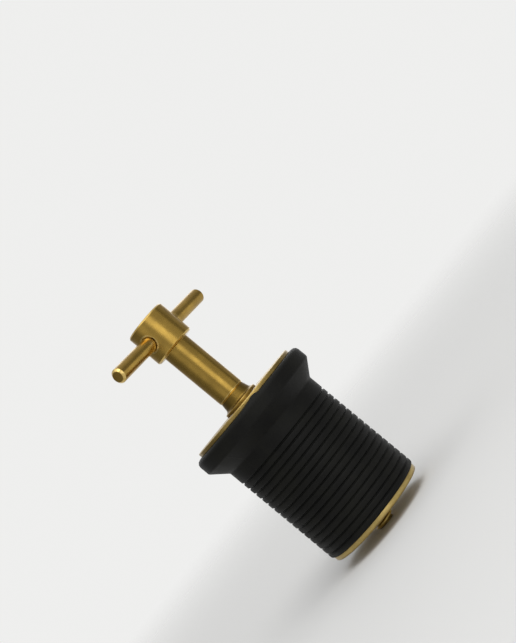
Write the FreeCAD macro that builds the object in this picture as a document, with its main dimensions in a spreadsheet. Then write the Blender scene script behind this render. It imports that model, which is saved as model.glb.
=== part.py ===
# Twist-to-tighten drain plug for a boat's 1 inch drain tube.
#
# A brass T-handle passes down through a flared thrust collar, a broad washer and a ribbed
# rubber plug, and screws into a brass nut plate under the rubber. Turning the handle draws
# the nut plate up, which shortens the rubber and swells it against the tube.
#
# Millimetres. +Z is the spindle's axis, towards the handle. The origin is on that axis at
# the plug's seat, where the flange's cone meets the ribbed body.
import FreeCAD, Part
import os
import Sketcher

# Driving dimensions: alias, size, what it is.
SIZES = [
    ("plug_diameter", 24.8, "ribbed body over its crests, a push fit in a 25.4 tube"),
    ("body_length", 26.2, "seat to the rubber's bottom face"),
    ("body_edge_bevel", 0.4, "bevel on the rubber's bottom edge"),
    ("neck_length", 3.35, "seat to the middle of the first rib groove"),
    ("rib_pitch", 1.54, "groove to groove"),
    ("rib_groove_width", 0.55, "groove at the crests"),
    ("rib_groove_depth", 0.42, "crest to root"),
    ("last_land", 1.0, "least rubber under the middle of the last groove"),
    ("flange_diameter", 30.5, "rubber flange"),
    ("flange_rim_height", 3.2, "straight rim of the flange"),
    ("flange_cone_height", 3.15, "cone from the seat out to the rim"),
    ("flange_edge_bevel", 0.7, "bevel on the rim's upper edge"),
    ("rubber_bore_clearance", 0.35, "rubber to shank, all round"),
    ("top_washer_diameter", 27.0, "broad washer on the flange"),
    ("top_washer_thickness", 0.85, "its sheet"),
    ("washer_edge_bevel", 0.2, "outer face's edge of the washer and of the nut plate"),
    ("collar_rim_diameter", 8.4, "thrust collar's foot"),
    ("collar_rim_height", 0.6, "its rim"),
    ("collar_flare_height", 0.65, "flare from the rim up to the neck"),
    ("collar_neck_height", 1.35, "neck above the flare"),
    ("collar_neck_diameter", 6.6, "neck where it meets the flare"),
    ("collar_top_diameter", 6.1, "neck under the spindle's shoulder"),
    ("shank_diameter", 4.826, "threaded shank, over the crests"),
    ("stem_diameter", 6.35, "plain stem above the shoulder"),
    ("stem_length", 14.55, "shoulder to head"),
    ("stem_foot_chamfer", 0.35, "edge of the shoulder"),
    ("head_diameter", 9.525, "T-handle's head"),
    ("head_height", 8.05, "its length along the axis"),
    ("head_chamfer", 0.3, "both edges of the head"),
    ("tip_length", 2.6, "shank beyond the nut plate"),
    ("tip_chamfer", 0.5, "end of the shank"),
    ("pin_diameter", 3.175, "cross pin"),
    ("pin_length", 34.925, "end to end"),
    ("pin_chamfer", 0.45, "both ends of the pin"),
    ("nut_plate_diameter", 24.0, "nut plate under the rubber"),
    ("nut_plate_thickness", 1.1, "its sheet"),
    ("hub_across_flats", 9.5, "hexagonal threaded hub that stands up in the rubber"),
    ("hub_height", 4.6, "above the plate"),
    ("thread_countersink", 0.4, "both mouths of the nut plate's hole"),
    ("running_clearance", 0.06, "shank in the collar, the washer and the nut plate, all round"),
    ("thrust_clearance", 0.04, "shoulder over the collar, and nut plate under the rubber"),
    ("pin_fit_clearance", 0.02, "pin in its hole, all round"),
    ("pocket_side_clearance", 0.2, "hub to each wall of the rubber's pocket"),
    ("pocket_end_clearance", 0.8, "hub's top to the pocket's end"),
    ("cut_margin", 0.5, "how far a cutting outline runs past the face it opens"),
]

# Two radii closer than this are the same.
SAME_SIZE = 1e-4

# Sizes that several pieces share, as expressions in the sheet's names.
BODY_RADIUS = "Sizes.plug_diameter / 2"
FLANGE_RADIUS = "Sizes.flange_diameter / 2"
FLANGE_HEIGHT = "(Sizes.flange_cone_height + Sizes.flange_rim_height)"
SHANK_RADIUS = "Sizes.shank_diameter / 2"
RUBBER_BORE = "Sizes.shank_diameter / 2 + Sizes.rubber_bore_clearance"
RUNNING_BORE = "Sizes.shank_diameter / 2 + Sizes.running_clearance"
HEAD_TOP = "(Sizes.stem_length + Sizes.head_height)"
PIN_HEIGHT = "(Sizes.stem_length + Sizes.head_height / 2)"
FLARE_TOP = "(Sizes.collar_rim_height + Sizes.collar_flare_height)"
COLLAR_HEIGHT = "(" + FLARE_TOP + " + Sizes.collar_neck_height)"
COLLAR_LEVEL = "(" + FLANGE_HEIGHT + " + Sizes.top_washer_thickness)"
SHOULDER_LEVEL = "(" + COLLAR_LEVEL + " + " + COLLAR_HEIGHT + " + Sizes.thrust_clearance)"
NUT_PLATE_LEVEL = "-(Sizes.body_length + Sizes.thrust_clearance)"
SHANK_LENGTH = (
    "(" + SHOULDER_LEVEL + " + Sizes.body_length + Sizes.thrust_clearance"
    " + Sizes.nut_plate_thickness + Sizes.tip_length)"
)


def make_sheet(document):
    """Writes the driving dimensions into a sheet, one named cell each."""
    sheet = document.addObject("Spreadsheet::Sheet", "Sizes")
    for row, (alias, size, meaning) in enumerate(SIZES, start=1):
        sheet.set(f"A{row}", alias)
        sheet.set(f"B{row}", str(size))
        sheet.setAlias(f"B{row}", alias)
        sheet.set(f"C{row}", meaning)
    document.recompute()
    return sheet


def make_body(document, name, level=None):
    """Adds an empty body. level is an expression for how high its own origin lies."""
    body = document.addObject("PartDesign::Body", name)
    body.Label = name
    if level is not None:
        body.setExpression("Placement.Base.z", level)
    return body


def origin_plane(body, role):
    """Finds one of the body's own origin planes or axes."""
    for feature in body.Origin.OriginFeatures:
        if feature.Role == role:
            return feature
    raise ValueError(f"{body.Label} has no {role}")


def add_sketch(body, name, role):
    """Adds an empty sketch on one of the body's origin planes."""
    sketch = body.newObject("Sketcher::SketchObject", name)
    sketch.AttachmentSupport = [(origin_plane(body, role), "")]
    sketch.MapMode = "FlatFace"
    return sketch


def add_outline(body, name, corners):
    """Draws a closed outline of straight sides on the XZ plane.

    Each corner is a pair of expressions: its distance out from the axis and its height.
    """
    sketch = add_sketch(body, name, "XZ_Plane")
    count = len(corners)
    # The sides start as a rough ring, and the dimensions then draw them to size.
    rough = Part.makePolygon(
        [FreeCAD.Vector(step * (count - step), step, 0) for step in range(count)]
    ).Vertexes
    for index in range(count):
        start = rough[index].Point
        end = rough[(index + 1) % count].Point
        sketch.addGeometry(Part.LineSegment(start, end), False)
    for index in range(count):
        sketch.addConstraint(Sketcher.Constraint("Coincident", index, 2, (index + 1) % count, 1))
    for index, (out, up) in enumerate(corners):
        for kind, expression in (("DistanceX", out), ("DistanceY", up)):
            row = sketch.addConstraint(Sketcher.Constraint(kind, -1, 1, index, 1, 1.0))
            sketch.renameConstraint(row, f"{kind}_{index}")
            sketch.setExpression(f"Constraints.{kind}_{index}", expression)
    return sketch


def turn(body, kind, name, corners, axis="V_Axis"):
    """Turns an outline a full circle about the sketch's own axis, to add or to cut."""
    sketch = add_outline(body, name + "_outline", corners)
    feature = body.newObject("PartDesign::" + kind, name)
    feature.Profile = sketch
    feature.ReferenceAxis = (sketch, [axis])
    feature.Angle = 360
    sketch.Visibility = False
    return feature


def circles(feature, radius):
    """Names the feature's circular edges of this radius, the lowest first."""
    found = []
    for index, edge in enumerate(feature.Shape.Edges, start=1):
        curve = edge.Curve
        if isinstance(curve, Part.Circle) and abs(curve.Radius - radius) < SAME_SIZE:
            found.append((curve.Center.z, f"Edge{index}"))
    return [name for _, name in sorted(found)]


def bevel_edges(body, base, name, edges, size):
    """Bevels the named edges of the base feature."""
    bevel = body.newObject("PartDesign::Chamfer", name)
    bevel.Base = (base, edges)
    bevel.setExpression("Size", size)
    return bevel


def add_prism(body, kind, name, across_flats, height, level):
    """Adds or cuts an upright hexagonal prism whose foot is at the given level."""
    prism = body.newObject("PartDesign::" + kind, name)
    prism.AttachmentSupport = [(origin_plane(body, "XY_Plane"), "")]
    prism.MapMode = "FlatFace"
    prism.Polygon = 6
    prism.setExpression("Circumradius", f"({across_flats}) / sqrt(3)")
    prism.setExpression("Height", height)
    prism.setExpression("AttachmentOffset.Base.z", level)
    return prism


def make_rubber_plug(document):
    """Moulded rubber: flange, cone, ribbed body, bore and the hub's pocket."""
    body = make_body(document, "rubber_plug")
    turn(body, "Revolution", "moulding", [
        (RUBBER_BORE, "-Sizes.body_length"),
        (BODY_RADIUS + " - Sizes.body_edge_bevel", "-Sizes.body_length"),
        (BODY_RADIUS, "-Sizes.body_length + Sizes.body_edge_bevel"),
        (BODY_RADIUS, "0"),
        (FLANGE_RADIUS, "Sizes.flange_cone_height"),
        (FLANGE_RADIUS, FLANGE_HEIGHT + " - Sizes.flange_edge_bevel"),
        (FLANGE_RADIUS + " - Sizes.flange_edge_bevel", FLANGE_HEIGHT),
        (RUBBER_BORE, FLANGE_HEIGHT),
    ])
    document.recompute()
    groove = turn(body, "Groove", "rib_groove", [
        (BODY_RADIUS + " - Sizes.rib_groove_depth", "-Sizes.neck_length"),
        (BODY_RADIUS, "-Sizes.neck_length - Sizes.rib_groove_width / 2"),
        (BODY_RADIUS + " + Sizes.cut_margin", "-Sizes.neck_length - Sizes.rib_groove_width / 2"),
        (BODY_RADIUS + " + Sizes.cut_margin", "-Sizes.neck_length + Sizes.rib_groove_width / 2"),
        (BODY_RADIUS, "-Sizes.neck_length + Sizes.rib_groove_width / 2"),
    ])
    document.recompute()
    ribs = body.newObject("PartDesign::LinearPattern", "rib_grooves")
    ribs.Originals = [groove]
    ribs.Direction = (origin_plane(body, "Z_Axis"), [""])
    ribs.Reversed = True
    steps = "floor((Sizes.body_length - Sizes.neck_length - Sizes.last_land) / Sizes.rib_pitch)"
    ribs.setExpression("Occurrences", steps + " + 1")
    ribs.setExpression("Length", f"{steps} * Sizes.rib_pitch")
    body.Tip = ribs
    document.recompute()
    add_prism(
        body, "SubtractivePrism", "hub_pocket",
        "Sizes.hub_across_flats + 2 * Sizes.pocket_side_clearance",
        "Sizes.hub_height + Sizes.pocket_end_clearance",
        "-Sizes.body_length",
    )
    return body


def make_top_washer(document, sheet):
    """Broad blanked washer that spreads the collar's load over the flange."""
    body = make_body(document, "top_washer", FLANGE_HEIGHT)
    radius = "Sizes.top_washer_diameter / 2"
    disc = turn(body, "Revolution", "blank", [
        (RUNNING_BORE, "0"),
        (radius, "0"),
        (radius, "Sizes.top_washer_thickness"),
        (RUNNING_BORE, "Sizes.top_washer_thickness"),
    ])
    document.recompute()
    bevel_edges(
        body, disc, "blanked_edge", circles(disc, sheet.top_washer_diameter / 2)[1:],
        "min(Sizes.washer_edge_bevel; Sizes.top_washer_thickness / 2.5)",
    )
    return body


def make_collar_washer(document):
    """Small turned collar, flared to a thin rim, that the spindle's shoulder bears on."""
    body = make_body(document, "collar_washer", COLLAR_LEVEL)
    turn(body, "Revolution", "turned_collar", [
        (RUNNING_BORE, "0"),
        ("Sizes.collar_rim_diameter / 2", "0"),
        ("Sizes.collar_rim_diameter / 2", "Sizes.collar_rim_height"),
        ("Sizes.collar_neck_diameter / 2", FLARE_TOP),
        ("Sizes.collar_top_diameter / 2", COLLAR_HEIGHT),
        (RUNNING_BORE, COLLAR_HEIGHT),
    ])
    return body


def make_spindle(document):
    """T-handle's turned spindle: head, stem, shoulder and long threaded shank."""
    body = make_body(document, "spindle", SHOULDER_LEVEL)
    stem = "Sizes.stem_diameter / 2"
    head = "Sizes.head_diameter / 2"
    turn(body, "Revolution", "turned_bar", [
        ("0", "-" + SHANK_LENGTH),
        (SHANK_RADIUS + " - Sizes.tip_chamfer", "-" + SHANK_LENGTH),
        (SHANK_RADIUS, "-" + SHANK_LENGTH + " + Sizes.tip_chamfer"),
        (SHANK_RADIUS, "0"),
        (stem + " - Sizes.stem_foot_chamfer", "0"),
        (stem, "Sizes.stem_foot_chamfer"),
        (stem, "Sizes.stem_length"),
        (head + " - Sizes.head_chamfer", "Sizes.stem_length"),
        (head, "Sizes.stem_length + Sizes.head_chamfer"),
        (head, HEAD_TOP + " - Sizes.head_chamfer"),
        (head + " - Sizes.head_chamfer", HEAD_TOP),
        ("0", HEAD_TOP),
    ])
    document.recompute()
    sketch = add_sketch(body, "pin_hole_circle", "YZ_Plane")
    sketch.addGeometry(Part.Circle(FreeCAD.Vector(0, 1, 0), FreeCAD.Vector(0, 0, 1), 1), False)
    rows = (
        ("radius", Sketcher.Constraint("Radius", 0, 1.0),
         "Sizes.pin_diameter / 2 + Sizes.pin_fit_clearance"),
        ("height", Sketcher.Constraint("DistanceY", -1, 1, 0, 3, 1.0), PIN_HEIGHT),
    )
    sketch.addConstraint(Sketcher.Constraint("PointOnObject", 0, 3, -2))
    for name, constraint, expression in rows:
        row = sketch.addConstraint(constraint)
        sketch.renameConstraint(row, name)
        sketch.setExpression("Constraints." + name, expression)
    hole = body.newObject("PartDesign::Pocket", "pin_hole")
    hole.Profile = sketch
    hole.Type = "ThroughAll"
    hole.Midplane = True
    return body


def make_cross_pin(document):
    """Plain round bar through the head, chamfered at both ends, lying along X."""
    body = make_body(document, "cross_pin", SHOULDER_LEVEL + " + " + PIN_HEIGHT)
    end = "Sizes.pin_length / 2"
    radius = "Sizes.pin_diameter / 2"
    turn(body, "Revolution", "bar", [
        ("-" + end, "0"),
        ("-" + end, radius + " - Sizes.pin_chamfer"),
        ("-" + end + " + Sizes.pin_chamfer", radius),
        (end + " - Sizes.pin_chamfer", radius),
        (end, radius + " - Sizes.pin_chamfer"),
        (end, "0"),
    ], axis="H_Axis")
    return body


def make_nut_plate(document, sheet):
    """Brass plate under the rubber, with a hexagonal threaded hub that can't turn in it."""
    body = make_body(document, "nut_plate", NUT_PLATE_LEVEL)
    radius = "Sizes.nut_plate_diameter / 2"
    disc = turn(body, "Revolution", "blank", [
        ("0", "-Sizes.nut_plate_thickness"),
        (radius, "-Sizes.nut_plate_thickness"),
        (radius, "0"),
        ("0", "0"),
    ])
    document.recompute()
    bevel_edges(
        body, disc, "blanked_edge", circles(disc, sheet.nut_plate_diameter / 2)[:1],
        "min(Sizes.washer_edge_bevel; Sizes.nut_plate_thickness / 2.5)",
    )
    document.recompute()
    add_prism(
        body, "AdditivePrism", "hub", "Sizes.hub_across_flats", "Sizes.hub_height", "0",
    )
    document.recompute()
    mouth = RUNNING_BORE + " + Sizes.thread_countersink"
    turn(body, "Groove", "threaded_hole", [
        ("0", "-Sizes.nut_plate_thickness"),
        (mouth, "-Sizes.nut_plate_thickness"),
        (RUNNING_BORE, "-Sizes.nut_plate_thickness + Sizes.thread_countersink"),
        (RUNNING_BORE, "Sizes.hub_height - Sizes.thread_countersink"),
        (mouth, "Sizes.hub_height"),
        ("0", "Sizes.hub_height"),
    ])
    return body


def check(document, bodies):
    """Stops if any feature failed or any piece isn't one sound solid."""
    for thing in document.Objects:
        if "Invalid" in thing.State or "Error" in thing.State:
            raise RuntimeError(f"{thing.Label} failed: {thing.State}")
    for body in bodies:
        shape = body.Shape
        if shape.isNull() or not shape.isValid() or len(shape.Solids) != 1:
            raise RuntimeError(f"{body.Label} isn't one valid solid")
        box = shape.BoundBox
        print(
            f"{body.Label}: {shape.Volume:.2f} mm3, "
            f"z {box.ZMin:.3f} to {box.ZMax:.3f}, x {box.XMin:.3f} to {box.XMax:.3f}, "
            f"{len(shape.Faces)} faces"
        )


def main():
    """Builds every piece and writes one STEP file for each."""
    document = FreeCAD.newDocument("drain_plug")
    sheet = make_sheet(document)
    bodies = [
        make_rubber_plug(document),
        make_top_washer(document, sheet),
        make_collar_washer(document),
        make_spindle(document),
        make_cross_pin(document),
        make_nut_plate(document, sheet),
    ]
    document.recompute()
    check(document, bodies)
    os.makedirs("parts", exist_ok=True)
    for body in bodies:
        body.Shape.exportStep(f"parts/{body.Label}.step")


main()
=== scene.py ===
"""Looks of a twist-to-tighten drain plug: turned and blanked brass round a moulded rubber body.

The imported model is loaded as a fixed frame. Every piece is modelled again over its own solid, at
the same size and place, with the rounds, thread, ribs and tool marks that the solids leave out.
Lengths are in millimetres until a mesh is made, because Blender works in metres.
"""

import logging
import math
from collections.abc import Sequence
from dataclasses import dataclass
from enum import Enum

import bpy
from mathutils import Matrix, Vector

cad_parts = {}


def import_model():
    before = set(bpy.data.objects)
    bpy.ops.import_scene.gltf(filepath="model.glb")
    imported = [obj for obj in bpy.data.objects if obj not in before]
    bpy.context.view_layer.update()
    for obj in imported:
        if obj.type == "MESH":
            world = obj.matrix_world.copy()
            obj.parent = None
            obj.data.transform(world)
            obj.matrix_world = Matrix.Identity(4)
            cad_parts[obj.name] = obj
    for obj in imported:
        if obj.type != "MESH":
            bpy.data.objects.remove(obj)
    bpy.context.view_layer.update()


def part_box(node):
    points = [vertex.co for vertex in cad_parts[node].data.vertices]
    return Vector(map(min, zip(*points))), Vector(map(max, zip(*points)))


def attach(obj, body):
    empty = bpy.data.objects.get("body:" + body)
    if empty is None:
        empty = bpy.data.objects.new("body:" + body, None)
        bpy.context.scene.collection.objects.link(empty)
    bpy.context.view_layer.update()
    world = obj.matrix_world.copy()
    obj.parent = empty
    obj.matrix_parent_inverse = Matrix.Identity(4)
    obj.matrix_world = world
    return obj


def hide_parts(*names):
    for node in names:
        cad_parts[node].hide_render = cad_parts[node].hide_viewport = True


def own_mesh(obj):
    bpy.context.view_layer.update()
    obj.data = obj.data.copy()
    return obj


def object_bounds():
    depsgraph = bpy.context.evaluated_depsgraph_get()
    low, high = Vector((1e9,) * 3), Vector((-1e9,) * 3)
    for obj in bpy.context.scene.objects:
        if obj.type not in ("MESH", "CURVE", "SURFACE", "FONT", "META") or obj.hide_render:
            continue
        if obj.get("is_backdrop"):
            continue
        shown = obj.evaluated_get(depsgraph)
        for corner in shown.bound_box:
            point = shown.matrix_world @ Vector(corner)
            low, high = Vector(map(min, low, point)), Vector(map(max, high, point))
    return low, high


# Metres in a millimetre.
MM = 0.001
# Millimetres of working gap that a piece closes, so that no light shines through.
SEAT_GAP = 0.035
# Millimetres by which a cutting shape reaches past what it cuts.
OVERCUT = 1.0
# Metres within which points are merged, and within which a cut takes a point as on its plane.
MERGE_WITHIN = 1e-6
CUT_WITHIN = 1e-8
# Faces round a small, a usual and a broad turned piece.
SMALL_SIDES = 96
USUAL_SIDES = 128
BROAD_SIDES = 192
# How strongly large flat faces straighten the shading beside them, from 1 to 100.
FLAT_WEIGHT = 60
LOG = logging.getLogger("drain_plug")

Piece = bpy.types.Object
Socket = bpy.types.NodeSocket
Colour = tuple[float, float, float, float]
Span = tuple[float, float]


class Carrier(Enum):
    """The bodies that pieces ride on."""

    PLUG = "plug"
    HANDLE = "handle"
    NUT = "nut"


class Slot(Enum):
    """The record's material slots."""

    TURNED_BRASS = "turned_brass"
    WASHER_BRASS = "washer_brass"
    RUBBER = "rubber"


class Axis(Enum):
    """The line that a piece is turned about: upright, or along the cross pin."""

    UPRIGHT = (0.0, 0.0, 1.0)
    CROSS = (1.0, 0.0, 0.0)


@dataclass(frozen=True)
class Corner:
    """A corner of a turned section, in millimetres."""

    out: float
    along: float
    soften: float = 0.0


def linear(red: int, green: int, blue: int) -> Colour:
    """Turns an 8 bit display colour into a linear one with full alpha.

    Args:
        red: Red, from 0 to 255.
        green: Green.
        blue: Blue.

    Returns:
        The colour as four linear numbers.
    """
    shares = (value / 255 for value in (red, green, blue))
    return (*(s / 12.92 if s <= 0.04045 else ((s + 0.055) / 1.055) ** 2.4 for s in shares), 1.0)


def millimetres(node: str) -> tuple[Vector, Vector]:
    """Reads a node's box from the frame.

    Args:
        node: The node's name.

    Returns:
        Its lowest and highest corners in millimetres.
    """
    low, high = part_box(node)
    return low / MM, high / MM


def direction(azimuth: float, elevation: float = 0.0) -> Vector:
    """Points from the object towards a place round it.

    Args:
        azimuth: Degrees round from -Y towards +X.
        elevation: Degrees above level.

    Returns:
        The direction, one unit long.
    """
    turn, rise = math.radians(azimuth), math.radians(elevation)
    flat = math.cos(rise)
    return Vector((math.sin(turn) * flat, -math.cos(turn) * flat, math.sin(rise)))


class Shaper:
    """Modelling steps that several pieces share."""

    @staticmethod
    def deselect() -> None:
        """Leaves edit mode and deselects every object."""
        if bpy.context.object and bpy.context.object.mode != "OBJECT":
            bpy.ops.object.mode_set(mode="OBJECT")
        bpy.ops.object.select_all(action="DESELECT")

    @classmethod
    def hold(cls, piece: Piece) -> None:
        """Selects one object and makes it active.

        Args:
            piece: The object.
        """
        cls.deselect()
        piece.select_set(True)
        bpy.context.view_layer.objects.active = piece

    @classmethod
    def unpick(cls, piece: Piece, kind: str) -> None:
        """Holds a piece, in object mode, with nothing on its mesh selected.

        Args:
            piece: The piece.
            kind: What is selected next: VERT, EDGE or FACE.
        """
        cls.hold(piece)
        bpy.ops.object.mode_set(mode="EDIT")
        bpy.ops.mesh.select_mode(type=kind)
        bpy.ops.mesh.select_all(action="DESELECT")
        bpy.ops.object.mode_set(mode="OBJECT")

    @staticmethod
    def close() -> Piece:
        """Closes the mesh in edit mode, turns its faces outwards and leaves edit mode.

        Returns:
            The closed piece.
        """
        bpy.ops.mesh.select_all(action="SELECT")
        bpy.ops.mesh.remove_doubles(threshold=MERGE_WITHIN)
        bpy.ops.mesh.normals_make_consistent(inside=False)
        bpy.ops.object.mode_set(mode="OBJECT")
        return bpy.context.object

    @staticmethod
    def soften(corners: Sequence[Corner], steps: int) -> list[Vector]:
        """Rounds the corners of a section.

        Args:
            corners: The section's corners in order. The first and last stay sharp.
            steps: Straight steps in each round.

        Returns:
            The section's points, in millimetres.
        """
        points: list[Vector] = []
        for index, corner in enumerate(corners):
            here = Vector((corner.out, corner.along))
            if corner.soften <= 0:
                points.append(here)
                continue
            before = corners[index - 1]
            after = corners[(index + 1) % len(corners)]
            back = (Vector((before.out, before.along)) - here).normalized()
            ahead = (Vector((after.out, after.along)) - here).normalized()
            half = back.angle(ahead) / 2
            centre = here + (back + ahead).normalized() * (corner.soften / math.sin(half))
            reach = corner.soften / math.tan(half)
            first = (here + back * reach - centre).normalized()
            last = (here + ahead * reach - centre).normalized()
            for step in range(steps + 1):
                points.append(centre + first.slerp(last, step / steps) * corner.soften)
        return points

    @classmethod
    def draw_section(cls, name: str, points: Sequence[Vector], axis: Axis, foot: Vector) -> None:
        """Draws a section as a chain of edges, one extruded point after another.

        Args:
            name: The new object's name.
            points: Distance out from the axis and place along it.
            axis: The axis that the section stands beside.
            foot: The point that the section is measured from.
        """
        cls.deselect()
        bpy.ops.mesh.primitive_plane_add(size=MM)
        bpy.context.object.name = name
        bpy.ops.object.mode_set(mode="EDIT")
        bpy.ops.mesh.merge(type="CENTER")
        bpy.ops.mesh.select_mode(type="VERT")
        bpy.ops.mesh.select_all(action="SELECT")
        across = Vector((1, 0, 0)) if axis is Axis.UPRIGHT else Vector((0, 0, 1))
        along = Vector(axis.value)
        places = [(foot + across * point.x + along * point.y) * MM for point in points]
        bpy.ops.transform.translate(value=places[0])
        for here, there in zip(places, places[1:]):
            bpy.ops.mesh.extrude_vertices_move(TRANSFORM_OT_translate={"value": there - here})

    @classmethod
    def turn(
        cls,
        name: str,
        corners: Sequence[Corner],
        *,
        ring: bool = False,
        axis: Axis = Axis.UPRIGHT,
        foot: Vector = Vector((0, 0, 0)),
        sides: int = USUAL_SIDES,
        round_steps: int = 4,
    ) -> Piece:
        """Turns a section a full circle, as on a lathe.

        Args:
            name: The new piece's name.
            corners: The section's corners.
            ring: True if the section closes on itself and the piece has a bore.
            axis: The axis that it is turned about.
            foot: The point that the section is measured from.
            sides: Faces round the axis.
            round_steps: Straight steps in each rounded corner.

        Returns:
            The turned piece, closed, with its faces pointing outwards.
        """
        points = cls.soften(corners, round_steps)
        if ring:
            points.append(points[0])
        cls.draw_section(name, points, axis, foot)
        bpy.ops.mesh.select_all(action="SELECT")
        bpy.ops.mesh.spin(
            steps=sides, angle=math.tau, use_auto_merge=True, center=foot * MM, axis=axis.value
        )
        return cls.close()

    @classmethod
    def apply(cls, piece: Piece, kind: str, **settings: object) -> None:
        """Adds a modifier to a piece and applies it.

        Args:
            piece: The piece to change.
            kind: The modifier's type.
            **settings: The modifier's own settings.
        """
        cls.hold(piece)
        modifier = piece.modifiers.new(kind.lower(), kind)
        for setting, value in settings.items():
            setattr(modifier, setting, value)
        bpy.ops.object.modifier_apply(modifier=modifier.name)

    @classmethod
    def combine(cls, piece: Piece, tool: Piece, operation: str) -> None:
        """Cuts a piece with a tool, or joins the two, and removes the tool.

        Args:
            piece: The piece that stays.
            tool: The shape that cuts it or joins it.
            operation: DIFFERENCE or UNION.
        """
        cls.apply(piece, "BOOLEAN", operation=operation, solver="EXACT", object=tool)
        bpy.data.objects.remove(tool, do_unlink=True)

    @classmethod
    def hexagon(
        cls, name: str, across_flats: float, low: float, high: float, bevel: float = 0.12
    ) -> Piece:
        """Makes an upright hexagonal bar with bevelled corners.

        Args:
            name: The bar's name.
            across_flats: Its size across flats.
            low: The level of its foot.
            high: The level of its top.
            bevel: The width of its bevels.

        Returns:
            The bar.
        """
        cls.deselect()
        bpy.ops.mesh.primitive_cylinder_add(
            vertices=6,
            radius=across_flats / math.sqrt(3) * MM,
            depth=(high - low) * MM,
            location=(0, 0, (low + high) / 2 * MM),
        )
        bar = bpy.context.object
        bar.name = name
        bpy.ops.object.transform_apply(location=True, rotation=True, scale=True)
        bpy.ops.object.mode_set(mode="EDIT")
        bpy.ops.mesh.select_all(action="SELECT")
        bpy.ops.mesh.bevel(offset=bevel * MM, segments=2, affect="EDGES")
        bpy.ops.object.mode_set(mode="OBJECT")
        return bar

    @classmethod
    def smooth(cls, piece: Piece, sharp_from: float = 34.0) -> None:
        """Shades a piece smooth except at its hard edges, with flats kept flat.

        Args:
            piece: The piece to shade.
            sharp_from: Angle between faces, in degrees, from which an edge stays hard.
        """
        cls.hold(piece)
        bpy.ops.object.shade_smooth_by_angle(angle=math.radians(sharp_from))
        cls.apply(piece, "WEIGHTED_NORMAL", keep_sharp=True, weight=FLAT_WEIGHT)

    @staticmethod
    def settle(
        piece: Piece, carrier: Carrier, slot: Slot, material: bpy.types.Material, node: str
    ) -> Piece:
        """Gives a finished piece its material and its body, and hides the node that it replaces.

        Args:
            piece: The finished piece.
            carrier: The body that it rides on.
            slot: Not used.
            material: Its material.
            node: The node that it replaces.

        Returns:
            The piece.
        """
        piece.data.materials.clear()
        piece.data.materials.append(material)
        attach(piece, carrier.value)
        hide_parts(node)
        return piece


@dataclass(frozen=True)
class Pattern:
    """A noise pattern: its cells for each metre, its octaves and how strong the finer ones are.

    It is least where the noise is below its span, and most above it.
    """

    cells: float
    octaves: float = 2.0
    roughness: float = 0.5
    span: Span = (0.0, 1.0)
    least: float = 0.0
    most: float = 1.0


class Nodes:
    """Adds and links the nodes of one tree."""

    def __init__(self, tree: bpy.types.NodeTree) -> None:
        """Keeps the tree that the nodes go into."""
        self.tree = tree

    def node(self, kind: str, inputs: dict, **settings: object) -> bpy.types.Node:
        """Adds one node.

        Args:
            kind: The node's type, without its ShaderNode prefix.
            inputs: A value or another node's output for each named or numbered input.
            **settings: The node's own settings.

        Returns:
            The node.
        """
        made = self.tree.nodes.new("ShaderNode" + kind)
        for setting, value in settings.items():
            setattr(made, setting, value)
        for key, value in inputs.items():
            self.feed(made.inputs[key], value)
        return made

    def feed(self, socket: Socket, value: object) -> None:
        """Links an output to a socket, or writes a plain value there.

        Args:
            socket: The socket that takes it.
            value: Another node's output, or the plain value.
        """
        if isinstance(value, Socket):
            self.tree.links.new(value, socket)
        else:
            socket.default_value = value

    def math(self, operation: str, *values: object) -> Socket:
        """Adds a math node on the given values and returns its output."""
        inputs = dict(enumerate(values))
        return self.node("Math", inputs, operation=operation).outputs[0]

    def noise(self, vector: object, pattern: Pattern) -> Socket:
        """Adds a noise pattern.

        Args:
            vector: The coordinates that it reads.
            pattern: Its scale, octaves, roughness and span.

        Returns:
            The pattern.
        """
        inputs = {
            "Vector": vector,
            "Scale": pattern.cells,
            "Detail": pattern.octaves,
            "Roughness": pattern.roughness,
        }
        fog = self.node("TexNoise", inputs).outputs["Fac"]
        return self.remap(fog, pattern.span, (pattern.least, pattern.most))

    def remap(self, value: object, span: Span, becomes: Span = (0.0, 1.0)) -> Socket:
        """Maps a value from one range to another, held at the ends.

        Args:
            value: The value to map.
            span: Start and end of its range.
            becomes: What the start and the end become.

        Returns:
            The mapped value.
        """
        inputs = {0: value, 1: span[0], 2: span[1], 3: becomes[0], 4: becomes[1]}
        return self.node("MapRange", inputs).outputs[0]

    def blend(self, share: object, first: object, second: object) -> Socket:
        """Mixes two colours by a share and returns the result."""
        return self.node("Mix", {0: share, 6: first, 7: second}, data_type="RGBA").outputs[2]


@dataclass(frozen=True)
class WearAndPaintedLight:
    """Corners, out from an axis and along it, tinted in patches: part edge wear, part painted
    highlight and painted shade.
    """

    corners: tuple[Span, ...] = ()
    # Bright by default: a painted highlight together with edge wear.
    tint: Colour = linear(232, 204, 132)
    full_to: float = 0.12
    none_from: float = 0.42
    patches: Pattern = Pattern(700, 3, 0.6, span=(0.35, 0.6), least=0.35)


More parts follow.
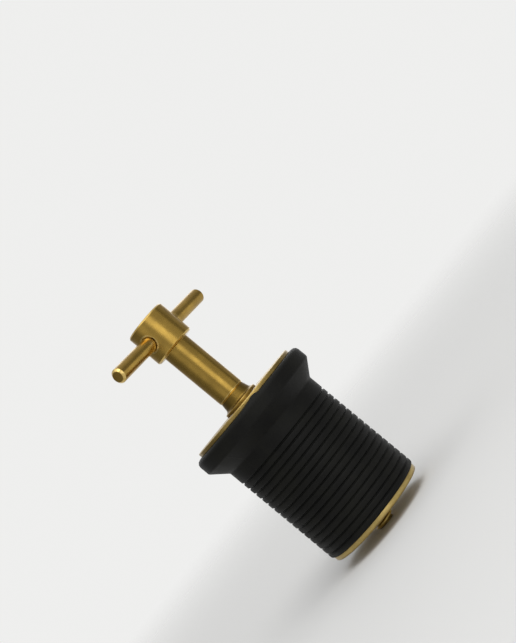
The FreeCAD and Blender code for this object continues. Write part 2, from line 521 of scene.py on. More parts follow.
class Finish(Nodes):
    """The nodes of one material, which starts with a plain surface shader."""

    def __init__(self, name: str) -> None:
        """Starts the material and its object coordinates.

        Args:
            name: The material's name.
        """
        self.material = bpy.data.materials.new(name)
        self.material.use_nodes = True
        super().__init__(self.material.node_tree)
        self.surface = self.tree.nodes["Principled BSDF"]
        self.place = self.node("TexCoord", {}).outputs["Object"]

    def round_axis(self, axis: Axis, level: float) -> tuple[Socket, Socket, Socket]:
        """Measures places on a turned piece from its own axis.

        Args:
            axis: The line that the piece is turned about.
            level: The height of that line's foot.

        Returns:
            The place from the axis's foot, the distance along the axis, and a vector of the
            distance out from the axis and the one along it.
        """
        move = {0: self.place, 1: (0, 0, -level * MM)}
        centred = self.node("VectorMath", move, operation="ADD").outputs[0]
        parts = self.node("SeparateXYZ", {0: centred}).outputs
        sides = (parts[0], parts[1]) if axis is Axis.UPRIGHT else (parts[1], parts[2])
        along = parts[2] if axis is Axis.UPRIGHT else parts[0]
        squares = [self.math("MULTIPLY", side, side) for side in sides]
        out = self.math("SQRT", self.math("ADD", *squares))
        rings = self.node("CombineXYZ", {0: out, 1: along}).outputs[0]
        return centred, along, rings

    def paint(self, socket: str, value: object) -> None:
        """Feeds one of the surface shader's sockets."""
        self.feed(self.surface.inputs[socket], value)

    def emboss(self, *layers: tuple[Socket, Span]) -> None:
        """Stacks bump layers on the surface.

        Args:
            *layers: Each layer's pattern, with its strength from 0 to 1 and its height.
        """
        below = {}
        for pattern, (strength, height) in layers:
            inputs = {"Height": pattern, "Strength": strength, "Distance": height * MM}
            below = {"Normal": self.node("Bump", inputs | below).outputs["Normal"]}
        self.paint("Normal", below["Normal"])

    def darken(self, colour: Socket, share: Socket) -> Socket:
        """Multiplies a colour by a share and returns the result."""
        grey = self.node("CombineXYZ", {0: share, 1: share, 2: share}).outputs[0]
        return self.node("VectorMath", {0: colour, 1: grey}, operation="MULTIPLY").outputs[0]

    def paint_wear_and_light(self, colour: Socket, rings: Socket, wear_and_light: WearAndPaintedLight) -> Socket:
        """Tints a colour along a piece's corners, in patches: edge wear, painted highlight and
        painted shade.

        Args:
            colour: The colour to tint.
            rings: Distance out from the axis and along it.
            wear_and_light: Where the corners are, and what tint they have and how wide.

        Returns:
            The colour with its edges.
        """
        patchy = self.noise(self.place, wear_and_light.patches)
        for out, along in wear_and_light.corners:
            corner = {0: rings, 1: (out * MM, along * MM, 0)}
            gap = self.node("VectorMath", corner, operation="DISTANCE").outputs["Value"]
            near = self.remap(gap, (wear_and_light.full_to * MM, wear_and_light.none_from * MM), (1.0, 0.0))
            colour = self.blend(self.math("MULTIPLY", near, patchy), colour, wear_and_light.tint)
        return colour


@dataclass(frozen=True)
class LatheBrass:
    """Brass as it leaves a lathe: fine rings about the axis, a satin shine and a thin tarnish.

    The edge tints' corners lie about the piece's own axis, and those in mouths about the cross
    pin's;
    they are part wear, part painted highlight and painted shade. Painted shade darkens the colour
    from the first of its two levels to the second and past it, and fades out between the two radii
    of roots.
    """

    name: str
    axis: Axis = Axis.UPRIGHT
    axis_level: float = 0.0
    clean: Colour = linear(190, 155, 75)
    dull: Colour = linear(150, 122, 60)
    shine_from: float = 0.20
    shine_to: float = 0.33
    shine_span: Span = (0.1, 0.7)
    tool_rings: Pattern = Pattern(9000, 3, 0.6)
    ring_relief: Span = (0.6, 0.004)
    chatter: Pattern = Pattern(1500)
    chatter_relief: Span = (0.5, 0.008)
    clouds: Pattern = Pattern(220, 4, 0.55, span=(0.38, 0.68), most=0.75)
    specks: Pattern = Pattern(2600, span=(0.62, 0.74), most=0.35)
    wear_and_light: WearAndPaintedLight = WearAndPaintedLight()
    mouths: tuple[WearAndPaintedLight, ...] = ()
    mouth_level: float = 0.0
    # Painted shade: its two levels along the axis, the radii over which it fades in the thread's
    # roots, and the share of colour left where it is darkest.
    shade_levels: Span | None = None
    roots: Span | None = None
    shade_left: float = 0.6

    def make(self) -> bpy.types.Material:
        """Builds the material.

        Returns:
            The material.
        """
        finish = Finish(self.name)
        centred, along, rings = finish.round_axis(self.axis, self.axis_level)
        fine = finish.noise(rings, self.tool_rings)
        broad = finish.noise(rings, self.chatter)
        tarnish = finish.noise(centred, self.clouds)
        share = finish.math("MAXIMUM", tarnish, finish.noise(centred, self.specks))
        colour = finish.blend(share, self.clean, self.dull)
        # Painted shade: darker from the first level to the second and past it, and darker towards
        # the thread's roots.
        if self.shade_levels:
            reach = [level * MM for level in self.shade_levels]
            colour = finish.darken(colour, finish.remap(along, reach, (1.0, self.shade_left)))
        if self.roots:
            reach = [radius * MM for radius in self.roots]
            out = finish.node("SeparateXYZ", {0: rings}).outputs[0]
            colour = finish.darken(colour, finish.remap(out, reach, (self.shade_left, 1.0)))
        colour = finish.paint_wear_and_light(colour, rings, self.wear_and_light)
        if self.mouths:
            _, _, across = finish.round_axis(Axis.CROSS, self.mouth_level)
            for mouth in self.mouths:
                colour = finish.paint_wear_and_light(colour, across, mouth)
        finish.paint("Base Color", colour)
        mean = finish.math("MULTIPLY", finish.math("ADD", share, broad), 0.5)
        rough = finish.remap(mean, self.shine_span, (self.shine_from, self.shine_to))
        finish.paint("Roughness", rough)
        finish.emboss((broad, self.chatter_relief), (fine, self.ring_relief))
        finish.paint("Metallic", 1.0)
        return finish.material


@dataclass(frozen=True)
class SheetBrass:
    """Blanked brass sheet, tumbled: a dull, slightly pitted surface with short scratches."""

    name: str
    clean: Colour = linear(169, 144, 84)
    dull: Colour = linear(126, 105, 59)
    wear_and_light: WearAndPaintedLight = WearAndPaintedLight()
    clouds: Pattern = Pattern(420, 6, 0.68, span=(0.40, 0.72), most=0.7)
    pits: Pattern = Pattern(5200, 3, 0.6)
    pit_relief: Span = (0.5, 0.008)
    scratches: Pattern = Pattern(3800, 1, 0.4, span=(0.60, 0.72))
    scratch_turn: float = 0.6
    scratch_squeeze: float = 0.12
    scratch_relief: Span = (0.4, 0.004)
    roughness: float = 0.30
    cloud_roughness: float = 0.16
    scratch_roughness: float = 0.10

    def make(self) -> bpy.types.Material:
        """Builds the material.

        Returns:
            The material.
        """
        finish = Finish(self.name)
        pits = finish.noise(finish.place, self.pits)
        turned = {
            "Vector": finish.place,
            "Rotation": (0, 0, self.scratch_turn),
            "Scale": (self.scratch_squeeze, 1, 1),
        }
        scratch = finish.noise(finish.node("Mapping", turned).outputs[0], self.scratches)
        share = finish.noise(finish.place, self.clouds)
        _, _, rings = finish.round_axis(Axis.UPRIGHT, 0.0)
        colour = finish.blend(share, self.clean, self.dull)
        finish.paint("Base Color", finish.paint_wear_and_light(colour, rings, self.wear_and_light))
        rough = finish.math("MULTIPLY_ADD", share, self.cloud_roughness, self.roughness)
        rough = finish.math("MULTIPLY_ADD", scratch, self.scratch_roughness, rough)
        finish.paint("Roughness", rough)
        finish.emboss((pits, self.pit_relief), (scratch, self.scratch_relief))
        finish.paint("Metallic", 1.0)
        return finish.material


@dataclass(frozen=True)
class MouldedRubber:
    """Black moulded rubber: dull, with a fine grain, a faint bloom and a thin parting line."""

    name: str
    black: Colour = linear(11, 11, 9)
    bloom: Colour = linear(24, 24, 19)
    clouds: Pattern = Pattern(160, 5, 0.6)
    bloom_span: Span = (0.42, 0.75)
    bloom_share: float = 0.8
    dull_span: Span = (0.3, 0.7)
    roughness: Span = (0.46, 0.62)
    dimples: Pattern = Pattern(900)
    dimple_relief: Span = (0.35, 0.03)
    grain: Pattern = Pattern(7000, 3, 0.6)
    grain_relief: Span = (0.5, 0.012)
    parting_line: Span = (0.04, 0.22)
    parting_relief: Span = (0.4, 0.05)
    specular: float = 0.15

    def make(self) -> bpy.types.Material:
        """Builds the material.

        Returns:
            The material.
        """
        finish = Finish(self.name)
        cloud = finish.noise(finish.place, self.clouds)
        grain = finish.noise(finish.place, self.grain)
        dimples = finish.noise(finish.place, self.dimples)
        share = finish.remap(cloud, self.bloom_span, (0.0, self.bloom_share))
        finish.paint("Base Color", finish.blend(share, self.black, self.bloom))
        finish.paint("Roughness", finish.remap(cloud, self.dull_span, self.roughness))
        across = finish.node("SeparateXYZ", {0: finish.place}).outputs[1]
        reach = [distance * MM for distance in self.parting_line]
        line = finish.remap(finish.math("ABSOLUTE", across), reach, (1.0, 0.0))
        finish.emboss(
            (dimples, self.dimple_relief),
            (grain, self.grain_relief),
            (line, self.parting_relief),
        )
        finish.paint("Specular IOR Level", self.specular)
        return finish.material


@dataclass
class RubberPlug:
    """The moulded plug: flange, cone, ribbed body, bore and the pocket for the nut's hub."""

    rim_round: float = 1.1
    cone_round: float = 0.6
    seat_round: float = 0.5
    foot_round: float = 0.5
    cone_height: float = 3.15
    body_radius: float = 12.4
    first_groove: float = 3.35
    groove_pitch: float = 1.54
    groove_width: float = 0.55
    groove_depth: float = 0.42
    groove_count: int = 15
    crest_round: float = 0.14
    root_round: float = 0.10
    bore_radius: float = 2.763
    pocket_across_flats: float = 9.9
    pocket_depth: float = 5.4
    travel: float = 4.0
    lip_from: float = 13.55
    lip_out: float = 13.85
    lip_wall: float = 0.1
    lip_core: float = 0.5
    lip_lifts: tuple = ((-49, 3.6, 0.10), (-44.5, 2.4, 0.20), (-40.3, 1.15, 0.24))

    def section(self) -> list[Corner]:
        """Lists the section's corners, from the bore's foot round the outside to its mouth.

        Returns:
            The corners in order.
        """
        low, high = millimetres("rubber_plug")
        foot = low.z - SEAT_GAP
        corners = [
            Corner(self.bore_radius, foot),
            Corner(self.body_radius, foot, self.foot_round),
        ]
        for groove in reversed(range(self.groove_count)):
            middle = -self.first_groove - groove * self.groove_pitch
            half = self.groove_width / 2
            corners += [
                Corner(self.body_radius, middle - half, self.crest_round),
                Corner(self.body_radius - self.groove_depth, middle, self.root_round),
                Corner(self.body_radius, middle + half, self.crest_round),
            ]
        corners += [
            Corner(self.body_radius, 0, self.seat_round),
            Corner(high.x, self.cone_height, self.cone_round),
            Corner(high.x, high.z, self.rim_round),
            Corner(self.lip_out, high.z),
            Corner(self.lip_from, high.z),
            Corner(self.bore_radius, high.z),
        ]
        return corners

    def raise_lip(self, piece: Piece) -> None:
        """Draws the rim up over the washer's edge in one place, where the washer bites in.

        Args:
            piece: The turned plug.
        """
        _, high = millimetres("rubber_plug")
        for azimuth, reach, rise in self.lip_lifts:
            crest = direction(azimuth) * self.lip_out
            crest.z = high.z
            Shaper.unpick(piece, "VERT")
            for vertex in piece.data.vertices:
                place = vertex.co / MM
                out = math.hypot(place.x, place.y)
                inside = out < self.lip_from + self.lip_wall
                vertex.hide = inside or place.z < high.z - self.rim_round
                vertex.select = not vertex.hide and (place - crest).length < self.lip_core
            bpy.ops.object.mode_set(mode="EDIT")
            bpy.ops.transform.translate(
                value=(0, 0, rise * MM),
                use_proportional_edit=True,
                proportional_edit_falloff="SMOOTH",
                proportional_size=reach * MM,
            )
            bpy.ops.mesh.reveal(select=False)
            bpy.ops.object.mode_set(mode="OBJECT")

    def build(self) -> list[Piece]:
        """Models the plug.

        Returns:
            The plug, in a list.
        """
        low, high = millimetres("rubber_plug")
        piece = Shaper.turn(
            "moulded_plug", self.section(), ring=True, sides=BROAD_SIDES, round_steps=3
        )
        self.raise_lip(piece)
        pocket = Shaper.hexagon(
            "pocket", self.pocket_across_flats, low.z - OVERCUT, low.z + self.pocket_depth
        )
        Shaper.combine(piece, pocket, "DIFFERENCE")
        Shaper.smooth(piece, sharp_from=40)
        material = MouldedRubber("moulded_rubber").make()
        Shaper.settle(piece, Carrier.PLUG, Slot.RUBBER, material, "rubber_plug")
        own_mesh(piece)
        return [piece]


@dataclass
class Washers:
    """The broad washer on the flange and the small flared collar that stands on it."""

    bore_radius: float = 2.473
    blanked_round: float = 0.22
    burr_round: float = 0.08
    collar_rim: float = 0.6
    collar_edge_round: float = 0.12
    collar_hollow_radius: float = 3.42
    collar_hollow_level: float = 0.85
    collar_hollow_round: float = 0.7
    collar_top_radius: float = 3.05

    def build(self) -> list[Piece]:
        """Models both pieces and returns them."""
        return [self.build_washer(), self.build_collar()]

    def build_washer(self) -> Piece:
        """Models the broad washer, round on its upper edge and sharp on its lower one.

        Returns:
            The washer.
        """
        low, high = millimetres("top_washer")
        piece = Shaper.turn(
            "broad_washer",
            [
                Corner(self.bore_radius, low.z, self.burr_round),
                Corner(high.x, low.z, self.burr_round),
                Corner(high.x, high.z, self.blanked_round),
                Corner(self.bore_radius, high.z, self.burr_round),
            ],
            ring=True,
        )
        Shaper.smooth(piece)
        wear_and_light = WearAndPaintedLight(((high.x, high.z),), tint=linear(172, 147, 86))
        material = SheetBrass("tumbled_sheet", wear_and_light=wear_and_light).make()
        return Shaper.settle(piece, Carrier.PLUG, Slot.WASHER_BRASS, material, "top_washer")

    def build_collar(self) -> Piece:
        """Models the collar: a thin rim that flares up into a short neck.

        Returns:
            The collar.
        """
        low, high = millimetres("collar_washer")
        rim = low.z + self.collar_rim
        hollow = low.z + self.collar_hollow_level
        piece = Shaper.turn(
            "flared_collar",
            [
                Corner(self.bore_radius, low.z),
                Corner(high.x, low.z, self.burr_round),
                Corner(high.x, rim, self.collar_edge_round),
                Corner(self.collar_hollow_radius, hollow, self.collar_hollow_round),
                Corner(self.collar_top_radius, high.z + SEAT_GAP, self.burr_round),
                Corner(self.bore_radius, high.z + SEAT_GAP),
            ],
            ring=True,
            sides=SMALL_SIDES,
            round_steps=5,
        )
        Shaper.smooth(piece)
        # Painted shade: a darker copy of the turned brass, darker still on the neck above the rim;
        # the rim's edge gets wear and a painted highlight.
        material = LatheBrass(
            "turned_collar",
            clean=linear(166, 134, 62),
            dull=linear(122, 98, 46),
            shine_from=0.3,
            shine_to=0.42,
            wear_and_light=WearAndPaintedLight(((high.x, rim),), tint=linear(178, 148, 82), none_from=0.3),
            shade_levels=(rim, hollow),
        ).make()
        return Shaper.settle(piece, Carrier.PLUG, Slot.TURNED_BRASS, material, "collar_washer")


@dataclass
class Handle:
    """The T-handle: a turned spindle, its threaded shank and the pin through its head."""

    stem_radius: float = 3.175
    stem_length: float = 14.55
    thrust_gap: float = 0.04
    foot_bevel: float = 0.35
    foot_draw: float = 0.14
    foot_rounds: Span = (0.04, 0.3)
    head_radius: float = 4.7625
    head_round: float = 0.32
    head_foot_rounds: Span = (0.08, 0.1)
    edge_round: float = 0.12
    shank_radius: float = 2.413
    thread_pitch: float = 25.4 / 24
    thread_depth: float = 0.50
    thread_steps: int = 56
    crest_share: float = 0.26
    crest_round: float = 0.03
    # Reach, in from the crests, that the painted shade in the thread's roots leaves untouched.
    crest_unshaded: float = 0.1
    root_share: float = 0.22
    root_round: float = 0.06
    thread_from: float = -18.0
    tip_bevel: float = 0.5
    pin_bevel: float = 0.45
    pin_rounds: Span = (0.06, 0.1)
    hole_clearance: float = 0.02
    hole_round: float = 0.24
    # Distance from the pin's middle of a painted highlight ring on the pin, beside the head.
    head_highlight_at: float = 5.0
    # Share of colour left in the painted shade on the stem below the head, and the reach of its
    # fade about the head's foot.
    stem_shade: float = 0.87
    stem_shade_edge: float = 0.3
    near: float = 0.02

    def build(self) -> list[Piece]:
        """Models the three pieces and returns them."""
        return [self.build_spindle(), self.build_thread(), self.build_pin()]

    def shoulder(self) -> float:
        """Works out the level of the stem's shoulder, just over the collar."""
        return millimetres("collar_washer")[1].z + self.thrust_gap

    def pin_line(self) -> tuple[float, float]:
        """Works out the pin's radius and the level of its axis."""
        low, high = millimetres("cross_pin")
        return (high.z - low.z) / 2, (low.z + high.z) / 2

    def hole_line(self) -> tuple[float, float]:
        """Works out the radius of the pin's hole and the level of its axis."""
        radius, level = self.pin_line()
        return radius + self.hole_clearance, level

    def build_spindle(self) -> Piece:
        """Models the head, stem and plain shank, with the pin's hole.

        Returns:
            The spindle.
        """
        _, high = millimetres("spindle")
        head_radius = self.head_radius
        shoulder = self.shoulder()
        head_foot = shoulder + self.stem_length
        piece = Shaper.turn(
            "turned_spindle",
            [
                Corner(0, self.thread_from),
                Corner(self.shank_radius, self.thread_from),
                Corner(self.shank_radius, shoulder),
                Corner(self.stem_radius - self.foot_draw, shoulder, self.foot_rounds[0]),
                Corner(self.stem_radius, shoulder + self.foot_bevel, self.foot_rounds[1]),
                Corner(self.stem_radius, head_foot, self.edge_round),
                Corner(head_radius - self.head_round, head_foot, self.head_foot_rounds[0]),
                Corner(head_radius, head_foot + self.head_round, self.head_foot_rounds[1]),
                Corner(head_radius, high.z - self.head_round, self.edge_round),
                Corner(head_radius - self.head_round, high.z, self.edge_round),
                Corner(0, high.z),
            ],
        )
        bpy.ops.object.duplicate(linked=False)
        whole = bpy.context.object
        Shaper.smooth(whole)
        self.drill_hole(piece)
        self.round_mouths(piece)
        Shaper.smooth(piece)
        self.keep_head_round(piece, whole)
        # Edge wear and a painted highlight on the stem's foot bevel and on the head's lower and
        # upper edges.
        corners = (
            (self.stem_radius, shoulder + self.foot_bevel / 2),
            (head_radius, head_foot),
            (head_radius, high.z),
        )
        hole, level = self.hole_line()
        rim = hole + self.hole_round
        mouth = math.sqrt(head_radius**2 - rim**2 / 2)
        throat = mouth - self.hole_round / 2
        material = LatheBrass(
            "turned_bar",
            wear_and_light=WearAndPaintedLight(corners),
            # Painted highlight on the rim of each mouth of the pin's hole, and painted shadow in
            # its throat.
            mouths=(
                WearAndPaintedLight(((rim, -mouth), (rim, mouth)), full_to=0.16, none_from=0.34),
                WearAndPaintedLight(
                    ((hole, -throat), (hole, throat)),
                    tint=linear(108, 84, 40),
                    full_to=0.16,
                    none_from=0.26,
                ),
            ),
            mouth_level=level,
            # Painted shade on the stem and shank below the head.
            shade_levels=(head_foot + self.stem_shade_edge, head_foot - self.stem_shade_edge),
            shade_left=self.stem_shade,
        ).make()
        return Shaper.settle(piece, Carrier.HANDLE, Slot.TURNED_BRASS, material, "spindle")

    def drill_hole(self, piece: Piece) -> None:
        """Drills the pin's hole through the head.

        Args:
            piece: The turned spindle.
        """
        radius, level = self.hole_line()
        reach = self.head_radius + OVERCUT
        drill = Shaper.turn(
            "drill",
            [Corner(0, -reach), Corner(radius, -reach), Corner(radius, reach), Corner(0, reach)],
            axis=Axis.CROSS,
            foot=Vector((0, 0, level)),
            sides=SMALL_SIDES,
        )
        Shaper.combine(piece, drill, "DIFFERENCE")

    def on_skin(self, piece: Piece) -> set[int]:
        """Finds the points of a piece that lie on the head's round side.

        Args:
            piece: The piece.

        Returns:
            The points' numbers.
        """
        places = ((vertex.index, vertex.co / MM) for vertex in piece.data.vertices)
        return {
            index
            for index, place in places
            if abs(math.hypot(place.x, place.y) - self.head_radius) < self.near
        }

    def round_mouths(self, piece: Piece) -> None:
        """Rounds both mouths of the pin's hole.

        Args:
            piece: The drilled spindle.
        """
        radius, level = self.hole_line()
        places = [vertex.co / MM for vertex in piece.data.vertices]
        on_mouth = {
            index
            for index in self.on_skin(piece)
            if abs(math.hypot(places[index].y, places[index].z - level) - radius) < self.near
        }
        Shaper.unpick(piece, "EDGE")
        for edge in piece.data.edges:
            edge.select = on_mouth.issuperset(edge.vertices)
        bpy.ops.object.mode_set(mode="EDIT")
        bpy.ops.mesh.bevel(offset=self.hole_round * MM, segments=3, affect="EDGES")
        bpy.ops.object.mode_set(mode="OBJECT")

    def keep_head_round(self, piece: Piece, whole: Piece) -> None:
        """Shades the head round the hole as it was before the hole, and removes the whole copy.

        Args:
            piece: The drilled spindle.
            whole: The spindle as it was before.
        """
        skin = piece.vertex_groups.new(name="skin")
        skin.add(sorted(self.on_skin(piece)), 1.0, "REPLACE")
        Shaper.apply(
            piece,
            "DATA_TRANSFER",
            object=whole,
            use_loop_data=True,
            data_types_loops={"CUSTOM_NORMAL"},
            loop_mapping="POLYINTERP_NEAREST",
            vertex_group=skin.name,
        )
        bpy.data.objects.remove(whole, do_unlink=True)

    def build_thread(self) -> Piece:
        """Models the threaded shank, from inside the rubber to its bevelled tip.

        Returns:
            The shank.
        """
        low, _ = millimetres("spindle")
        pitch = self.thread_pitch
        root = self.shank_radius - self.thread_depth
        crest_flat = pitch * self.crest_share
        root_flat = pitch * self.root_share
        flank = (pitch - crest_flat - root_flat) / 2
        start = low.z - 2 * pitch
        section = [
            Corner(self.shank_radius, 0),
            Corner(self.shank_radius, crest_flat / 2, self.crest_round),
            Corner(root, crest_flat / 2 + flank, self.root_round),
            Corner(root, crest_flat / 2 + flank + root_flat, self.root_round),
            Corner(self.shank_radius, pitch - crest_flat / 2, self.crest_round),
            Corner(self.shank_radius, pitch),
        ]
        Shaper.draw_section(
            "threaded_shank", Shaper.soften(section, 3), Axis.UPRIGHT, Vector((0, 0, start))
        )
        bpy.ops.object.mode_set(mode="OBJECT")
        piece = bpy.context.object
        turns = math.ceil((self.thread_from - start) / pitch) + 1
        Shaper.apply(
            piece,
            "SCREW",
            axis="Z",
            angle=math.tau,
            screw_offset=pitch * MM,
            iterations=turns,
            steps=self.thread_steps,
            render_steps=self.thread_steps,
            use_merge_vertices=True,
            merge_threshold=MERGE_WITHIN,
        )
        bpy.ops.object.mode_set(mode="EDIT")
        for level, side in ((low.z, -1), (self.thread_from, 1)):
            bpy.ops.mesh.select_all(action="SELECT")
            bpy.ops.mesh.bisect(
                plane_co=(0, 0, level * MM),
                plane_no=(0, 0, side),
                use_fill=True,
                clear_outer=True,
                threshold=CUT_WITHIN,
            )
        Shaper.close()
        self.bevel_tip(piece, low.z)
        Shaper.smooth(piece, sharp_from=50)
        # Painted light: a brighter copy of the turned brass for a tip in the plate's shadow, with
        # painted shade in the thread's roots.
        material = LatheBrass(
            "threaded_bar",
            clean=linear(214, 184, 104),
            dull=linear(170, 142, 76),
            shine_from=0.3,
            roots=(root, self.shank_radius - self.crest_unshaded),
            shade_left=0.35,
        ).make()
        return Shaper.settle(piece, Carrier.HANDLE, Slot.TURNED_BRASS, material, "spindle")

    def bevel_tip(self, piece: Piece, tip: float) -> None:
        """Draws the thread in to a bevel at its end.

        Args:
            piece: The threaded shank.
            tip: The level of its end.
        """
        for vertex in piece.data.vertices:
            out = math.hypot(vertex.co.x, vertex.co.y)
            allowed = (self.shank_radius - self.tip_bevel) * MM + (vertex.co.z - tip * MM)
            if out > allowed:
                vertex.co.x *= allowed / out
                vertex.co.y *= allowed / out

    def build_pin(self) -> Piece:
        """Models the cross pin, bevelled at both ends.

        Returns:
            The pin.
        """
        low, high = millimetres("cross_pin")
        radius, level = self.pin_line()
        bevel = self.pin_bevel
        end_round, side_round = self.pin_rounds
        piece = Shaper.turn(
            "cross_bar",
            [
                Corner(0, low.x),
                Corner(radius - bevel, low.x, end_round),
                Corner(radius, low.x + bevel, side_round),
                Corner(radius, high.x - bevel, side_round),
                Corner(radius - bevel, high.x, end_round),
                Corner(0, high.x),
            ],
            axis=Axis.CROSS,
            foot=Vector((0, 0, level)),
            sides=SMALL_SIDES,
        )
        Shaper.smooth(piece)
        # Edge wear and a painted highlight on both end bevels, and a painted highlight ring on the
        # pin beside the head.
        ends = (low.x + bevel / 2, high.x - bevel / 2)
        wear_and_light = WearAndPaintedLight(tuple((radius - bevel / 2, end) for end in ends))
        head_highlight = WearAndPaintedLight(
            ((radius, -self.head_highlight_at), (radius, self.head_highlight_at)),
            tint=linear(220, 190, 118),
            full_to=0.5,
            none_from=1.5,
        )
        material = LatheBrass(
            "drawn_pin",
            axis=Axis.CROSS,
            axis_level=level,
            wear_and_light=wear_and_light,
            mouths=(head_highlight,),
            mouth_level=level,
        ).make()
        return Shaper.settle(piece, Carrier.HANDLE, Slot.TURNED_BRASS, material, "cross_pin")


@dataclass
class NutPlate:
    """The nut plate: a blanked disc with a hexagonal hub, threaded through."""

    thickness: float = 1.1
    hub_across_flats: float = 9.5
    bore_radius: float = 2.473
    countersink: float = 0.4
    outer_round: float = 0.25
    upper_round: float = 0.08

    def build(self) -> list[Piece]:
        """Models the plate.

        Returns:
            The plate, in a list.
        """
        low, high = millimetres("nut_plate")
        face = low.z + self.thickness
        piece = Shaper.turn(
            "blanked_nut_plate",
            [
                Corner(0, low.z),
                Corner(high.x, low.z, self.outer_round),
                Corner(high.x, face, self.upper_round),
                Corner(0, face),
            ],
        )
        hub = Shaper.hexagon("hub", self.hub_across_flats, low.z + self.thickness / 2, high.z)
        Shaper.combine(piece, hub, "UNION")
        mouth = self.bore_radius + self.countersink
        cutter = Shaper.turn(
            "bore",
            [
                Corner(0, low.z - OVERCUT),
                Corner(mouth + OVERCUT, low.z - OVERCUT),
                Corner(mouth, low.z),
                Corner(self.bore_radius, low.z + self.countersink),
                Corner(self.bore_radius, high.z - self.countersink),
                Corner(mouth + OVERCUT, high.z + OVERCUT),
                Corner(0, high.z + OVERCUT),
            ],
            sides=SMALL_SIDES,
        )
        Shaper.combine(piece, cutter, "DIFFERENCE")
        Shaper.smooth(piece)
        # Painted highlight: a brighter copy of the sheet brass, darker along its lower outer edge.
        material = SheetBrass(
            "tumbled_plate",
            clean=linear(190, 166, 104),
            dull=linear(150, 128, 76),
            wear_and_light=WearAndPaintedLight(((high.x, low.z),), tint=linear(128, 106, 60), none_from=0.5),
        ).make()
        return [Shaper.settle(piece, Carrier.NUT, Slot.WASHER_BRASS, material, "nut_plate")]


@dataclass(frozen=True)
class Lamp:
    """A soft lamp: where it stands, how large it is and how much light it throws."""

    name: str
    azimuth: float
    elevation: float
    distance: float
    width: float
    height: float
    share: float

    def place(self) -> None:
        """Adds the lamp, pointing at the origin."""
        away = direction(self.azimuth, self.elevation)
        bpy.ops.object.light_add(type="AREA", location=away * self.distance)
        lamp = bpy.context.object
        lamp.name = self.name
        lamp.rotation_euler = away.to_track_quat("Z", "Y").to_euler()
        lamp.data.shape = "RECTANGLE"
        lamp.data.size = self.width
        lamp.data.size_y = self.height
        lamp.data.energy = self.share * (math.pi * self.distance) ** 2


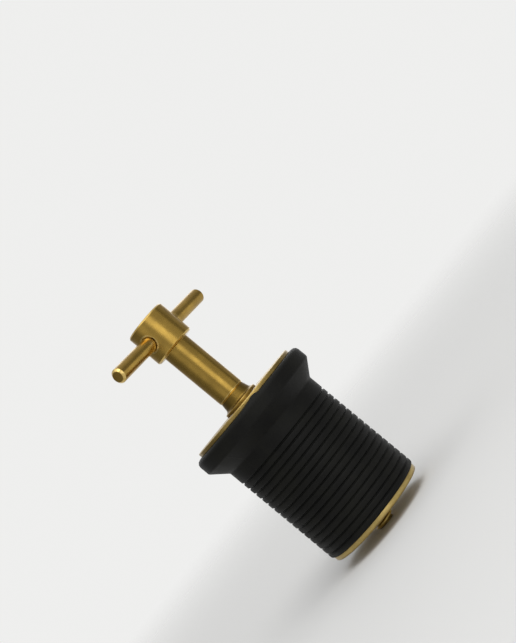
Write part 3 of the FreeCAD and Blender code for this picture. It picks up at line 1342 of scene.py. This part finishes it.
@dataclass
class Studio:
    """Camera, lamps, pale surroundings and floor."""

    azimuth: float = -52.77
    elevation: float = -0.97
    roll: float = -50.46
    distance: float = 0.26538
    lens: float = 74.85
    aim_right: float = -0.0024
    aim_up: float = 0.02057
    clip_start: float = 0.01
    floor_radius: float = 0.5
    floor_gap: float = 0.0001
    floor_fade: Span = (0.06, 0.45)
    floor_colour: Colour = (0.8, 0.8, 0.79, 1)
    floor_roughness: float = 0.9
    floor_specular: float = 0.1
    blue_share: float = 0.99
    pale: float = 0.86
    ambient: float = 0.45
    ceiling: float = 0.60
    ceiling_from: Span = (0.3, 0.75)
    ground_from: Span = (-0.12, -0.3)
    surroundings: tuple[Span, ...] = (
        *((-158, 0.80), (-140, 0.30), (-100, 0.19), (-80, 0.20), (-60, 0.28)),
        *((-46, 0.58), (-22, 0.60), (-14, 0.46), (36, 0.53), (82, 0.50)),
        *((89, 0.18), (101, 0.18), (110, 0.36), (140, 0.36), (158, 0.86)),
    )
    lamps: tuple[Lamp, ...] = (
        Lamp("key_strip", -31, 6, 0.6, 0.33, 0.40, 0.125),
        Lamp("high_front", -30, 50, 0.6, 0.50, 0.36, 0.36),
        Lamp("back_strip", 120, 14, 0.7, 0.24, 0.60, 0.09),
        Lamp("top", 0, 82, 0.7, 0.70, 0.70, 0.26),
    )

    def build(self) -> None:
        """Adds everything that isn't part of the object."""
        self.place_camera()
        for lamp in self.lamps:
            lamp.place()
        self.lay_floor()
        self.paint_world()
        bpy.context.scene.view_settings.view_transform = "Standard"

    def place_camera(self) -> None:
        """Sets the camera at the photograph's angle, turned about its own line of sight."""
        back = direction(self.azimuth, self.elevation)
        level_right = direction(self.azimuth + 90)
        level_up = back.cross(level_right)
        roll = math.radians(self.roll)
        right = level_right * math.cos(roll) + level_up * math.sin(roll)
        up = back.cross(right)
        aim = right * self.aim_right + up * self.aim_up
        facing = Matrix((right, up, back)).transposed()
        place = aim + back * self.distance
        bpy.ops.object.camera_add(location=place, rotation=facing.to_euler())
        camera = bpy.context.object
        camera.name = "camera"
        camera.data.lens = self.lens
        camera.data.clip_start = self.clip_start
        bpy.context.scene.camera = camera

    def lay_floor(self) -> None:
        """Lays a pale round floor under the object, which fades out into the surroundings."""
        Shaper.deselect()
        low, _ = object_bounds()
        bpy.ops.mesh.primitive_circle_add(
            vertices=SMALL_SIDES,
            radius=self.floor_radius,
            fill_type="NGON",
            location=(0, 0, low.z - self.floor_gap),
        )
        floor = bpy.context.object
        floor.name = "floor"
        finish = Finish("pale_floor")
        finish.paint("Base Color", self.floor_colour)
        finish.paint("Roughness", self.floor_roughness)
        finish.paint("Specular IOR Level", self.floor_specular)
        out = finish.node("VectorMath", {0: finish.place}, operation="LENGTH").outputs["Value"]
        near, far = self.floor_fade
        reach = {0: out, 1: near, 2: far, 3: 0.0, 4: 1.0}
        fade = finish.node("MapRange", reach, interpolation_type="SMOOTHSTEP").outputs[0]
        clear = finish.node("BsdfTransparent", {}).outputs[0]
        mix = finish.node("MixShader", {0: fade, 1: finish.surface.outputs[0], 2: clear})
        output = finish.tree.nodes["Material Output"]
        finish.feed(output.inputs["Surface"], mix.outputs[0])
        floor.data.materials.append(finish.material)
        floor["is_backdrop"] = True

    def warm(self, level: float) -> Colour:
        """Turns a level of light into a grey with slightly less blue."""
        return (level, level, level * self.blue_share, 1)

    def paint_world(self) -> None:
        """Paints the surroundings: pale to the eye, a room to metal, and an even soft light.

        The room is graded round the object, from the side that the photograph was taken from.
        """
        world = bpy.data.worlds.new("surroundings")
        bpy.context.scene.world = world
        world.use_nodes = True
        nodes = Nodes(world.node_tree)
        toward = nodes.node("TexCoord", {}).outputs["Generated"]
        ways = (direction(self.azimuth), direction(self.azimuth + 90))
        ahead, aside = (
            nodes.node("VectorMath", {0: toward, 1: way}, operation="DOT_PRODUCT").outputs["Value"]
            for way in ways
        )
        height = nodes.node("SeparateXYZ", {0: toward}).outputs[2]
        angle = nodes.math("ARCTAN2", aside, ahead)
        place = nodes.remap(angle, (-math.pi, math.pi))
        ramp = nodes.node("ValToRGB", {0: place})
        stops = ramp.color_ramp.elements
        while len(stops) > 1:
            stops.remove(stops[-1])
        for index, (degrees, level) in enumerate(self.surroundings):
            at = degrees / 360 + 0.5
            stop = stops[0] if index == 0 else stops.new(at)
            stop.position = at
            stop.color = (level, level, level, 1)
        rays = nodes.node("LightPath", {}).outputs
        reflected = nodes.math("MAXIMUM", rays["Is Glossy Ray"], rays["Is Transmission Ray"])
        ambient = (self.ambient, self.ambient, self.ambient, 1)
        pale = self.warm(self.pale)
        over = nodes.remap(height, self.ceiling_from)
        under = nodes.remap(height, self.ground_from)
        walls = nodes.blend(over, ramp.outputs[0], self.warm(self.ceiling))
        room = nodes.blend(under, walls, pale)
        lit = nodes.blend(reflected, ambient, room)
        shown = nodes.blend(rays["Is Camera Ray"], lit, pale)
        nodes.feed(nodes.tree.nodes["Background"].inputs["Color"], shown)


def main() -> None:
    """Loads the frame, builds every piece over it and adds the studio."""
    logging.basicConfig(level=logging.INFO, format="%(name)s: %(message)s")
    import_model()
    for assembly in (RubberPlug(), Washers(), Handle(), NutPlate()):
        for piece in assembly.build():
            LOG.info("%s: %d faces", piece.name, len(piece.data.polygons))
    Studio().build()


if __name__ == "__main__":
    main()
